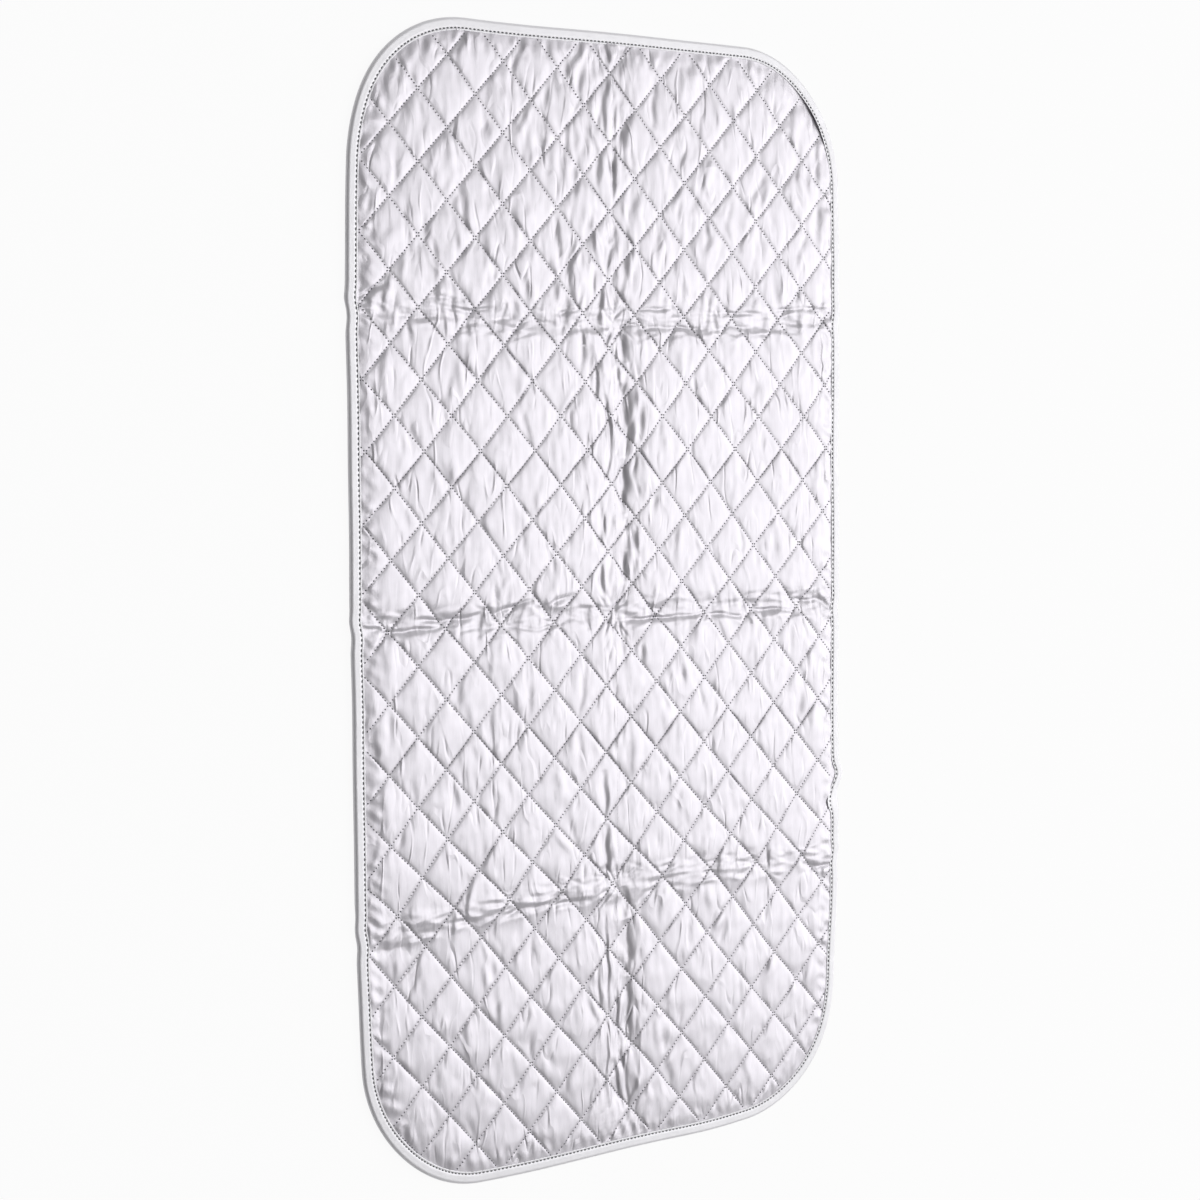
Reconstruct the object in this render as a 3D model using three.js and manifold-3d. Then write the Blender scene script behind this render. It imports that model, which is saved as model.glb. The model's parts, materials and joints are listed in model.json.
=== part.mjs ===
// A quilted ironing pad that folds up for storage.
// A silver face cloth, a wadding and a backing cloth are quilted together in diamonds,
// and a bias tape binds the edge. The pad folds at one lengthwise crease and three cross creases.
// It lies flat with its face up: +X across the pad, +Y along it, +Z up, in millimetres.

import * as THREE from 'three';
import { mergeVertices } from 'three/addons/utils/BufferGeometryUtils.js';
import Module from 'manifold-3d';

// Overall outline
const PAD_WIDTH = 480;
const PAD_LENGTH = 850;
const CORNER_RADIUS = 105;

// Layers, from the table up
const TAPE_THICKNESS = 0.7;
const BACKING_CLOTH = 0.5;
const WADDING_THICKNESS = 1.8;
const FACE_CLOTH = 0.5;
const CROWN_HEIGHT = 2.5;

// Edge binding
const BINDING_WIDTH = 10;
const BINDING_CLEARANCE = 0.3;
const EDGE_ROLL = 8;
const CORNER_STEPS = 12;

// Diamond quilting: size of one diamond, one crossing near the middle, and the turn of the lines
const DIAMOND_WIDTH = 50.2;
const DIAMOND_LENGTH = 50.8;
const QUILT_CROSSING_X = -3.8;
const QUILT_CROSSING_Y = -12.2;
const QUILT_TURN = THREE.MathUtils.degToRad(-0.95);

// Padded diamonds: how deep the seams lie below the crown, and the shoulder ring of each diamond
const SEAM_DEPTH = 2.3;
const SHOULDER_SHARE = 0.5;
const SHOULDER_DROP = 0.45;

// Folding creases
const ROW_COUNT = 4;
const CREASE_GAP = 0.6;

// How far a cutting solid runs past what it cuts
const CUT_MARGIN = 5;

// Levels of the layers
const backingTop = TAPE_THICKNESS + BACKING_CLOTH;
const waddingTop = backingTop + WADDING_THICKNESS;
const rimTop = waddingTop + FACE_CLOTH;
const bindingTop = rimTop + TAPE_THICKNESS;
const padTop = rimTop + CROWN_HEIGHT;

// Distances in from the outer edge
const layerInset = TAPE_THICKNESS + BINDING_CLEARANCE;
const quiltInset = BINDING_WIDTH + BINDING_CLEARANCE;

const rowLength = PAD_LENGTH / ROW_COUNT;

const wasm = await Module();
wasm.setup();

// Turns a closed three.js geometry into a solid that can be cut and joined.
function solidFrom(geometry) {
  const bare = geometry.clone();
  bare.deleteAttribute('normal');
  bare.deleteAttribute('uv');
  const merged = mergeVertices(bare, 1e-4);
  const mesh = new wasm.Mesh({
    numProp: 3,
    vertProperties: new Float32Array(merged.attributes.position.array),
    triVerts: new Uint32Array(merged.index.array),
  });
  return new wasm.Manifold(mesh);
}

function geometryFrom(solid) {
  const mesh = solid.getMesh();
  const geometry = new THREE.BufferGeometry();
  geometry.setAttribute('position', new THREE.Float32BufferAttribute(mesh.vertProperties, 3));
  geometry.setIndex(new THREE.Uint32BufferAttribute(mesh.triVerts, 1));
  return geometry;
}

// The pad's outline, drawn in from its outer edge by an inset.
function padOutline(inset) {
  const halfWidth = PAD_WIDTH / 2 - inset;
  const halfLength = PAD_LENGTH / 2 - inset;
  const radius = CORNER_RADIUS - inset;
  const outline = new THREE.Shape();
  outline.moveTo(halfWidth, radius - halfLength);
  outline.lineTo(halfWidth, halfLength - radius);
  outline.absarc(halfWidth - radius, halfLength - radius, radius, 0, Math.PI / 2);
  outline.lineTo(radius - halfWidth, halfLength);
  outline.absarc(radius - halfWidth, halfLength - radius, radius, Math.PI / 2, Math.PI);
  outline.lineTo(-halfWidth, radius - halfLength);
  outline.absarc(radius - halfWidth, radius - halfLength, radius, Math.PI, 1.5 * Math.PI);
  outline.lineTo(halfWidth - radius, -halfLength);
  outline.absarc(halfWidth - radius, radius - halfLength, radius, 1.5 * Math.PI, 2 * Math.PI);
  return outline;
}

// A flat layer of the pad between two levels.
function layer(inset, bottom, top) {
  const geometry = new THREE.ExtrudeGeometry(padOutline(inset), {
    depth: top - bottom,
    curveSegments: CORNER_STEPS,
    bevelEnabled: false,
  });
  geometry.translate(0, 0, bottom);
  return solidFrom(geometry);
}

// The space of the quilted field, whose sides roll in from the binding up to the crown.
function rolledSpace() {
  const foot = waddingTop + FACE_CLOTH / 2;
  const top = padTop + CUT_MARGIN;
  const rollPerHeight = EDGE_ROLL / CROWN_HEIGHT;
  const roll = (top - foot) * rollPerHeight;
  const geometry = new THREE.ExtrudeGeometry(padOutline(quiltInset), {
    depth: CUT_MARGIN,
    curveSegments: CORNER_STEPS,
    bevelEnabled: true,
    bevelThickness: top - foot,
    bevelSize: roll,
    bevelOffset: -roll,
    bevelSegments: 1,
  });
  geometry.translate(0, 0, foot - CUT_MARGIN);
  return solidFrom(geometry);
}

// A blanket of padded diamonds that is wider than the pad. Its seams lie low, and each diamond rises
// over a shoulder ring to its crown.
function quiltBlanket() {
  const bottom = waddingTop + FACE_CLOTH / 2;
  const seamHeight = padTop - SEAM_DEPTH;
  const middle = new THREE.Vector2();
  const across = new THREE.Vector2(DIAMOND_WIDTH / 2, -DIAMOND_LENGTH / 2).rotateAround(middle, QUILT_TURN);
  const along = new THREE.Vector2(DIAMOND_WIDTH / 2, DIAMOND_LENGTH / 2).rotateAround(middle, QUILT_TURN);
  const crossing = new THREE.Vector2(QUILT_CROSSING_X, QUILT_CROSSING_Y);
  const reach = Math.hypot(PAD_WIDTH, PAD_LENGTH) / 2 + crossing.length();
  const pitch = Math.abs(across.cross(along)) / along.length();
  const half = Math.ceil(reach / pitch) + 1;
  const start = crossing.clone().addScaledVector(across, -half).addScaledVector(along, -half);
  const count = 2 * half;
  const points = [];
  const triangles = [];

  const planPoint = (i, j) => start.clone().addScaledVector(across, i).addScaledVector(along, j);
  const addPoint = (plan, height) => points.push(plan.x, plan.y, height) / 3 - 1;
  const addQuad = (p, q, r, t) => triangles.push(p, q, r, p, r, t);
  const seamAt = ([i, j]) => 2 * (i * (count + 1) + j);
  const baseAt = (place) => seamAt(place) + 1;

  for (let i = 0; i <= count; i += 1) {
    for (let j = 0; j <= count; j += 1) {
      addPoint(planPoint(i, j), seamHeight);
      addPoint(planPoint(i, j), bottom);
    }
  }

  for (let i = 0; i < count; i += 1) {
    for (let j = 0; j < count; j += 1) {
      const places = [[i, j], [i + 1, j], [i + 1, j + 1], [i, j + 1]];
      const centre = planPoint(i + 0.5, j + 0.5);
      const crown = addPoint(centre, padTop);
      const shoulders = places.map(([m, n]) => {
        const plan = planPoint(m, n).lerp(centre, SHOULDER_SHARE);
        return addPoint(plan, padTop - SHOULDER_DROP);
      });
      places.forEach((place, k) => {
        const next = (k + 1) % places.length;
        addQuad(seamAt(place), seamAt(places[next]), shoulders[next], shoulders[k]);
        triangles.push(shoulders[k], shoulders[next], crown);
      });
      addQuad(...places.map(baseAt).reverse());
    }
  }

  // Walls round the outside of the blanket
  const addWall = (from, to) => addQuad(baseAt(from), baseAt(to), seamAt(to), seamAt(from));
  for (let k = 0; k < count; k += 1) {
    addWall([k, 0], [k + 1, 0]);
    addWall([count, k], [count, k + 1]);
    addWall([k + 1, count], [k, count]);
    addWall([0, k + 1], [0, k]);
  }

  const geometry = new THREE.BufferGeometry();
  geometry.setAttribute('position', new THREE.Float32BufferAttribute(points, 3));
  geometry.setIndex(triangles);
  return solidFrom(geometry);
}

// The silver face: a thin cloth with the crowned quilting on it, rolled down before the binding.
function wholeFace() {
  return layer(layerInset, waddingTop, rimTop).add(quiltBlanket().intersect(rolledSpace()));
}

function wholeWadding() {
  return layer(layerInset, backingTop, waddingTop);
}

// The backing: its field lies flush with the binding, and its rim goes inside the tape.
function wholeBacking() {
  return layer(quiltInset, 0, backingTop).add(layer(layerInset, TAPE_THICKNESS, backingTop));
}

// The binding: a tape folded over the edge of all three layers.
function wholeBinding() {
  const pocket = layer(TAPE_THICKNESS, TAPE_THICKNESS, rimTop);
  const field = layer(BINDING_WIDTH, -CUT_MARGIN, bindingTop + CUT_MARGIN);
  return layer(0, 0, bindingTop).subtract(pocket).subtract(field);
}

// The space of one fold panel, kept clear of its neighbours at the creases.
function panelSpace(side, row) {
  const width = PAD_WIDTH / 2 + CUT_MARGIN - CREASE_GAP / 2;
  const topEdge = PAD_LENGTH / 2 - row * rowLength;
  const high = row === 0 ? topEdge + CUT_MARGIN : topEdge - CREASE_GAP / 2;
  const bottomEdge = topEdge - rowLength;
  const low = row === ROW_COUNT - 1 ? bottomEdge - CUT_MARGIN : bottomEdge + CREASE_GAP / 2;
  const height = padTop + 2 * CUT_MARGIN;
  const geometry = new THREE.BoxGeometry(width, high - low, height);
  geometry.translate(side * (CREASE_GAP / 2 + width / 2), (high + low) / 2, padTop / 2);
  return solidFrom(geometry);
}

const silverCloth = { color: 0xdedce1, roughness: 0.38, metalness: 0.35 };
const waddingFibre = { color: 0xf2f0ea, roughness: 1.0, metalness: 0.0 };
const backingCloth = { color: 0xd9d9dc, roughness: 0.9, metalness: 0.0 };
const satinTape = { color: 0xeeeef2, roughness: 0.5, metalness: 0.1 };

const layers = [
  { name: 'face', solid: wholeFace(), finish: silverCloth },
  { name: 'wadding', solid: wholeWadding(), finish: waddingFibre },
  { name: 'backing', solid: wholeBacking(), finish: backingCloth },
  { name: 'binding', solid: wholeBinding(), finish: satinTape },
];

const sides = [
  { name: 'left', sign: -1 },
  { name: 'right', sign: 1 },
];

const ironingPad = new THREE.Group();

for (const side of sides) {
  for (let row = 0; row < ROW_COUNT; row += 1) {
    const space = panelSpace(side.sign, row);
    for (const { name, solid, finish } of layers) {
      const geometry = geometryFrom(solid.intersect(space));
      const mesh = new THREE.Mesh(geometry, new THREE.MeshStandardMaterial(finish));
      mesh.name = `${name}_${side.name}_${row + 1}`;
      ironingPad.add(mesh);
    }
  }
}

export default ironingPad;
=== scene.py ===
# Looks of a quilted ironing pad that folds at one lengthwise crease and three cross creases.
# The silver face is simulated as cloth that is sewn down along its diamond seams. A satin tape binds
# the edge, a cotton backing closes the underside, and every stitch is a piece of thread.

import json
import math
from collections import namedtuple

import bpy
import numpy as np
from bpy.props import FloatProperty, FloatVectorProperty, IntProperty, PointerProperty
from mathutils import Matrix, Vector


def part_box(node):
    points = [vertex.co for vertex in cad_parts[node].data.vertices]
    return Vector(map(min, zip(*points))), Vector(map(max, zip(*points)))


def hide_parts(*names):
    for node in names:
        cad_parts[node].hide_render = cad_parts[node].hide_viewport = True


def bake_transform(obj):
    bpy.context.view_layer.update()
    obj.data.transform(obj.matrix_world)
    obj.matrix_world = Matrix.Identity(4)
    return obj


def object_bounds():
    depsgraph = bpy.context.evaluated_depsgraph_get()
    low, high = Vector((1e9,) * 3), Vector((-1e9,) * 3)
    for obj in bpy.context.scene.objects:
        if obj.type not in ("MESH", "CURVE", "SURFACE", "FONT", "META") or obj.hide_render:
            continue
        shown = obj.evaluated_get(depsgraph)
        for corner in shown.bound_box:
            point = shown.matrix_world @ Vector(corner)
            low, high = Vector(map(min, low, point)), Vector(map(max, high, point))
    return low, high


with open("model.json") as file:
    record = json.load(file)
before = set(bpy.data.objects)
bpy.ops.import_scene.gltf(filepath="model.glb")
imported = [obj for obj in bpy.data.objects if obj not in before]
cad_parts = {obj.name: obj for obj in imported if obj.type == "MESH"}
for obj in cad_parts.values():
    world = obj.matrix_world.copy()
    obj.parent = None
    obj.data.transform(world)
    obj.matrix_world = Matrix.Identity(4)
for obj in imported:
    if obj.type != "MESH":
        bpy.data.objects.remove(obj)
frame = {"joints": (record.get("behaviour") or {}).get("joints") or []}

bl_info = {
    "name": "Folding ironing pad",
    "version": (1, 0, 0),
    "blender": (4, 5, 0),
    "location": "3D View > Sidebar > Ironing pad",
    "description": "Sews a quilted silver ironing pad with a bound edge around its folding panels",
    "category": "Object",
}

CAD_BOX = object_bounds()
PAD_WIDTH = CAD_BOX[1].x - CAD_BOX[0].x
PAD_LENGTH = CAD_BOX[1].y - CAD_BOX[0].y
BACKING_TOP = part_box("backing_left_2")[1].z
FACE_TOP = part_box("face_left_2")[1].z
FOLD_AT = {joint["name"]: joint["pos_m"][1] for joint in frame["joints"]}

# What keeps the layers of the pad apart, and the wadding that is left under the deepest fold
CLEARANCE = 0.0001
LEAST_WADDING = 0.0003

# How far under its top the face starts to flatten
SOFT_TOP = 0.0008

# The pad's halves, with the way each lies from the lengthwise crease
SIDES = {"left": -1, "right": 1}

# The thirds of a half: the two panels that each spans, and the fold between them
THIRDS = {"upper": (1, 2, "top_fold"), "middle": (2, 3, "middle_fold"), "lower": (3, 4, "bottom_fold")}

# Where the thirds of a half meet, in the middle of the second and third rows of panels
THIRD_CUTS = [(FOLD_AT["top_fold"] + FOLD_AT["middle_fold"]) / 2,
              (FOLD_AT["middle_fold"] + FOLD_AT["bottom_fold"]) / 2]

# How far each cross crease strays from its fold, at the left edge, in the middle and at the right edge
CREASE_DRIFT = {
    "top_fold": (0.007, -0.005, 0.003),
    "middle_fold": (-0.005, -0.009, -0.014),
    "bottom_fold": (-0.011, -0.003, -0.012),
}

# How far each crease presses the face down, and the most that all of them do together
TOP_PRESS = 0.0010
MIDDLE_PRESS = 0.0018
BOTTOM_PRESS = 0.0022
LENGTHWISE_PRESS = 0.0016
DEEPEST_PRESS = 0.0027

# How hard the lengthwise crease is pressed on the whole, and how much that changes from row to row
CENTRE_STRENGTH = 0.62
CENTRE_STRENGTH_CHANGE = 0.38

# Half the width along a fold that stays flat on the underside
FLAT_REACH = 0.010

# Dents and bulges of the bound edge: where each is, how far it goes outwards, and how far along it reaches
EDGE_STRAY = (
    (-0.260, 0.000, 0.0010, 0.320),
    (-0.100, 0.425, -0.0020, 0.090),
    (0.080, 0.425, -0.0012, 0.080),
    (-0.240, 0.340, -0.0025, 0.040),
    (0.205, 0.385, -0.0030, 0.060),
    (-0.215, -0.400, -0.0080, 0.090),
    (0.240, -0.330, -0.0050, 0.060),
    (0.100, -0.425, 0.0030, 0.060),
)

# Hollows of the face at the upper right, in the corner and beside the tape: where each is, and how deep
CORNER_HOLLOW = (0.206, 0.372, 0.0011)
TAPE_HOLLOWS = ((0.213, 0.340, 0.0022), (0.2145, 0.291, 0.0018))

# How far the seams have shifted sideways: where along the pad, how far, and how far along it reaches
SEAM_SHIFT = ((0.115, 0.0055, 0.065), (-0.228, 0.0080, 0.050), (-0.340, 0.0040, 0.070))
SEAM_SHIFT_ELSEWHERE = -0.0055

# Groups of short wrinkles, each strewn over a rectangle and heading roughly one way
WrinkleGroup = namedtuple("WrinkleGroup", "count middle reach heading fan lengths widths")
CROSSWISE = math.pi
LENGTHWISE = math.pi / 2

# The soft wrinkles of the face: everywhere, in the middle of the top row, and in the whole top row
FACE_WRINKLES = (
    WrinkleGroup(520, (0, 0), (PAD_WIDTH / 2, PAD_LENGTH / 2), LENGTHWISE, math.radians(14),
                 (0.006, 0.014), (0.0017, 0.0032)),
    WrinkleGroup(60, (-0.018, 0.31), (0.035, 0.10), LENGTHWISE, math.radians(9),
                 (0.008, 0.018), (0.0018, 0.0032)),
    WrinkleGroup(160, (0, 0.32), (0.23, 0.10), LENGTHWISE, math.radians(18),
                 (0.006, 0.014), (0.0017, 0.0030)),
)

# The sharp small folds: along each cross crease, along the lengthwise crease, in the top row, and elsewhere
CROSS_FOLDS = WrinkleGroup(150, (0, 0), (0.24, 0.012), CROSSWISE, math.radians(12),
                           (0.006, 0.016), (0.0011, 0.0020))
LENGTHWISE_FOLDS = WrinkleGroup(160, (0, 0), (0.026, 0.42), LENGTHWISE, math.radians(9),
                                (0.006, 0.016), (0.0011, 0.0022))
TOP_ROW_FOLDS = WrinkleGroup(170, (0, 0.315), (0.225, 0.095), LENGTHWISE, math.radians(16),
                             (0.005, 0.012), (0.0012, 0.0020))
LOWER_FOLDS = WrinkleGroup(320, (0, -0.1), (0.23, 0.31), LENGTHWISE, math.radians(22),
                           (0.004, 0.010), (0.0012, 0.0020))

# Puckers of the face beside its hem: their height, how far in they lie, and the range of their lengths
HEM_PUCKER = 0.0003
HEM_PUCKER_REACH = 0.006
HEM_PUCKER_LENGTHS = (0.008, 0.018)

# How much wider a wrinkle's gentle side is than its steep side
GENTLE_SIDE = 1.8

# Small folds that radiate from each crossing of the creases
PUCKERS_PER_CROSSING = 11

# Shape of the tape: its turned hem, the ditch of its stitches, its puckers, the sag of its flat sides,
# and how far its underside lifts where a fold ends
HEM_TURN = 0.0004
STITCH_DITCH = 0.0005
STITCH_DITCH_WIDTH = 0.0008
TAPE_PUCKER = 0.0001
TAPE_SAG = 0.00025
FOLD_LIFT = 0.0007

# Where the tape gapes in the upper right corner, and where it is pulled and pinched along the right side
GAPING_AT = (0.212, 0.377)
PULLED_AT = -0.180
PINCH_AT = -0.156
PINCH_END_AT = -0.172

# Length of one mesh cell along the tape, and the cells across it
TAPE_STEP = 0.0017
TAPE_CELLS = 34

# Width of the tape in its own map
TAPE_MAP_WIDTH = 0.025

# How far the thread stands out of the cloth, as a share of its radius
FACE_STITCH_PROUD = 0.7
BACKING_STITCH_PROUD = 0.5
UPPER_HEM_PROUD = 0.6
LOWER_HEM_PROUD = 0.1

# How far the quilting stitches stay away from the tape and from the lengthwise crease
HEM_STITCH_GAP = 0.0008
FOLD_STITCH_GAP = 0.0004

# Spare cloth at a crease, as a share, and half the width that it has at the lengthwise crease
CREASE_EASE = 0.008
CENTRE_EASE_REACH = 0.025

# How finely the cloth is simulated, the mass of one of its points, and how fast its swinging dies down
CLOTH_QUALITY = 6
CLOTH_MASS = 0.3
CLOTH_DAMPING = 5

# Width of the floor, and how far the camera sees
FLOOR_WIDTH = 30
CAMERA_REACH = 50

# The angle from which an edge shows as sharp
SHARP_ANGLE = math.radians(60)

# Single deep folds as the photograph shows them, in millimetres: start x and y, end x and y, width, depth
PRESSED_FOLDS = (
    (-10, 390, -14, 352, 3.0, 0.96),
    (2, 376, 1, 345, 1.5, 0.84),
    (1, 342, -1, 298, 1.8, 1.20),
    (39, 381, 40, 356, 1.8, 1.08),
    (-45, 357, -45, 334, 1.8, 1.08),
    (18, 342, 19, 326, 1.5, 0.84),
    (18, 312, 18, 274, 1.8, 0.60),
    (-57, 288, -51, 248, 1.6, 1.32),
    (-2, 268, -8, 244, 2.5, 1.44),
    (44, 284, 41, 246, 2.0, 1.08),
    (-20, 250, -20, 228, 1.6, 1.08),
    (-33, 240, -36, 220, 1.5, 1.08),
    (-33, 208, -29, 180, 1.4, 1.08),
    (-16, 181, -17, 152, 1.5, 1.32),
    (-10, 157, -9, 92, 1.5, 1.44),
    (-14, 78, -14, 42, 2.5, 0.96),
    (-15, 30, -11, 4, 2.0, 1.32),
    (6, 207, 12, 180, 3.0, 1.56),
    (3, 178, 7, 157, 1.5, 1.20),
    (10, 165, 12, 110, 4.5, 2.04),
    (2, 152, 3, 134, 1.5, 1.08),
    (28, 152, 28, 130, 1.5, 0.96),
    (8, 108, 8, 66, 3.0, 1.92),
    (11, 64, 14, 40, 2.2, 1.20),
    (20, 58, 22, 30, 1.8, 1.08),
    (9, 38, 9, 15, 1.8, 1.20),
    (-31, -42, -38, -84, 1.8, 0.96),
    (26, -34, 25, -50, 1.5, 1.08),
    (-39, -94, -39, -128, 2.5, 0.72),
    (-14, -127, -12, -168, 2.5, 1.32),
    (-12, -168, -13, -214, 2.8, 2.04),
    (-13, -236, -12, -318, 1.4, 1.20),
    (-21, -276, -19, -313, 1.4, 1.08),
    (-12, -319, -13, -363, 1.4, 1.20),
    (7, -218, 9, -245, 3.0, 1.56),
    (9, -245, 9, -288, 4.0, 2.16),
    (2, -284, 1, -342, 2.2, 1.32),
    (11, -290, 11, -344, 3.0, 1.92),
    (-5, -352, 4, -394, 1.6, 1.32),
    (1, -346, 9, -392, 1.6, 1.20),
    (-236, 223, -205, 236, 1.3, 1.20),
    (-176, 228, -140, 224, 1.3, 0.96),
    (-170, 223, -112, 220, 1.3, 1.20),
    (-60, 217, -33, 220, 1.4, 1.20),
    (24, 220, 62, 222, 1.1, 1.56),
    (22, 206, 100, 205, 1.1, 0.96),
    (74, 218, 166, 218, 1.3, 0.96),
    (165, 220, 230, 222, 1.3, 1.20),
    (-240, -4, -215, -6, 1.3, 1.20),
    (-218, -10, -163, -9, 1.5, 1.80),
    (-190, -1, -155, -5, 1.3, 1.20),
    (-162, -3, -122, 0, 1.3, 1.32),
    (-120, -4, -80, 6, 1.4, 1.56),
    (-106, -10, -50, -12, 1.2, 0.96),
    (-68, 1, -40, 9, 1.4, 1.20),
    (0, -14, 92, -15, 1.3, 1.80),
    (90, -15, 137, -21, 1.3, 1.68),
    (140, -15, 190, -18, 1.2, 1.56),
    (185, -9, 232, -11, 1.3, 1.20),
    (-225, -234, -195, -236, 2.5, 1.32),
    (-165, -223, -120, -224, 1.8, 1.32),
    (-118, -226, -66, -222, 1.6, 1.32),
    (-68, -225, -26, -225, 1.6, 1.56),
    (30, -221, 110, -222, 1.5, 0.96),
    (195, -226, 232, -232, 1.6, 1.20),
)


# Kinds of settings

def metres(name, description, default):
    return FloatProperty(name=name, description=description, default=default, unit="LENGTH")


def plain_number(name, description, default):
    return FloatProperty(name=name, description=description, default=default)


def whole_number(name, description, default):
    return IntProperty(name=name, description=description, default=default)


def tint(name, description, default):
    return FloatVectorProperty(name=name, description=description, default=default, size=3, subtype="COLOR")


class PadSizes(bpy.types.PropertyGroup):
    """Sizes of the pad's layers and of its binding."""
    corner_radius: metres("Corner radius", "Radius of the pad's corners", 0.105)
    binding_width: metres("Binding width", "Width of the tape that shows", 0.0092)
    binding_height: metres("Binding height", "Height of the folded tape", 0.0042)
    tape_thickness: metres("Tape thickness", "Thickness of the folded tape", 0.0006)
    tuck: metres("Tuck", "How far in from the edge the quilted layers start", 0.0045)
    rim_level: metres("Rim level", "Height of the face under the tape", 0.0034)
    seam_level: metres("Seam level", "Height of the quilting seams", 0.0040)
    edge_roll: metres("Edge roll", "Width over which the face rises beside the tape", 0.008)
    fold_gap: metres("Fold gap", "Half the gap at the lengthwise crease", 0.00003)
    fold_lip: metres("Fold lip", "Width of the face cloth that wraps the backing's edge", 0.0005)
    bend_reach: metres("Bend reach", "Half the width that bends at a cross fold", 0.0068)
    middle_bend_reach: metres("Middle bend reach", "Half the width that bends at the middle fold", 0.0086)


class QuiltSizes(bpy.types.PropertyGroup):
    """Sizes of the diamond quilting and of its wrinkles."""
    diamond_width: metres("Diamond width", "Width of one diamond", 0.0502)
    diamond_length: metres("Diamond length", "Length of one diamond", 0.0508)
    crossing: FloatVectorProperty(
        name="Crossing", description="A crossing of two seams", default=(-0.0038, -0.0122), size=2,
        unit="LENGTH")
    turn: FloatProperty(
        name="Turn", description="Turn of the quilting on the pad", default=math.radians(-0.95),
        subtype="ANGLE")
    cells: whole_number("Cells", "Mesh cells along one side of a diamond of the face", 22)
    backing_cells: whole_number("Backing cells", "Mesh cells along one side of a diamond of the backing", 9)
    crowding: plain_number("Crowding", "How much narrower the cells are beside the seams", 0.42)
    crown: metres("Crown", "Rise of a diamond above its seams", 0.0013)
    groove: metres("Groove", "Width over which a diamond rises steeply from its seams", 0.0010)
    shoulder: metres("Shoulder", "Width over which a diamond rises gently", 0.0045)
    steep_share: plain_number("Steep share", "Share of a diamond's rise that is steep", 0.3)
    ease_across: plain_number("Ease across", "Spare cloth across the pad, as a share", 0.0005)
    ease_along: plain_number("Ease along", "Spare cloth along the pad, as a share", 0.001)
    ease_spread: plain_number("Ease spread", "How much the spare cloth varies, as a share", 0.001)
    ripple: metres("Ripple", "Height of the faint lengthwise ripples", 0.00006)
    crease_ripple: metres("Crease ripple", "Height of the faint ripples at a cross crease", 0.0001)
    unevenness: metres("Unevenness", "Height of the wadding's uneven lumps", 0.0001)
    crease_band: metres("Crease band", "Half the width of a cross crease's ripples", 0.011)
    wrinkle: metres("Wrinkle", "Height of the strongest single wrinkles", 0.0013)
    fold_depth: metres("Fold depth", "Depth of the sharpest small folds at the creases", 0.00095)
    backing_relief: metres("Backing relief", "Depth of the seams in the underside", 0.0008)


class StitchSizes(bpy.types.PropertyGroup):
    """Sizes of the thread and of the stitches."""
    per_side: whole_number("Stitches", "Stitches along one side of a diamond", 12)
    length: metres("Length", "Length of the thread that shows in a stitch", 0.0015)
    radius: metres("Radius", "Radius of the thread", 0.0005)
    binding_pitch: metres("Binding pitch", "Distance between the binding's stitches", 0.0036)
    binding_length: metres("Binding stitch", "Length of the thread that shows in a binding stitch", 0.0027)
    binding_radius: metres("Binding thread", "Radius of the binding's thread", 0.00055)
    binding_inset: metres("Binding inset", "How far in from the edge the binding is sewn", 0.0075)


class ClothSettings(bpy.types.PropertyGroup):
    """Settings of the cloth simulation of the face."""
    scale: plain_number("Scale", "How much larger than life the cloth is simulated", 20.0)
    frames: whole_number("Frames", "Steps of the simulation", 25)
    draw_frames: whole_number("Draw frames", "Steps that draw the seams in", 8)
    stretch: plain_number("Stretch", "Stiffness against stretching", 15.0)
    shear: plain_number("Shear", "Stiffness against shearing", 5.0)
    bending: plain_number("Bending", "Stiffness against bending", 0.4)
    puff: plain_number("Puff", "Pressure of the wadding", 0.05)
    wadding_hold: plain_number("Wadding hold", "How firmly the wadding holds the cloth", 0.5)


class PadColours(bpy.types.PropertyGroup):
    """Colours of the pad and its floor."""
    silver: tint("Silver", "Colour of the face cloth", (0.695, 0.67, 0.717))
    silver_shade: tint("Silver shade", "Colour of the face cloth's duller spots", (0.635, 0.612, 0.655))
    tape: tint("Tape", "Colour of the binding", (0.865, 0.855, 0.885))
    thread: tint("Thread", "Colour of the quilting thread", (0.36, 0.36, 0.38))
    hem_thread: tint("Hem thread", "Colour of the binding's thread", (0.20, 0.20, 0.215))
    cotton: tint("Cotton", "Colour of the backing's warp", (0.70, 0.70, 0.71))
    # Painted shade between the backing's yarns
    cotton_yarn_gap_shade: tint("Cotton shade", "Colour between the backing's yarns", (0.52, 0.52, 0.54))
    floor: tint("Floor", "Colour of the floor", (0.90, 0.90, 0.90))


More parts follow.
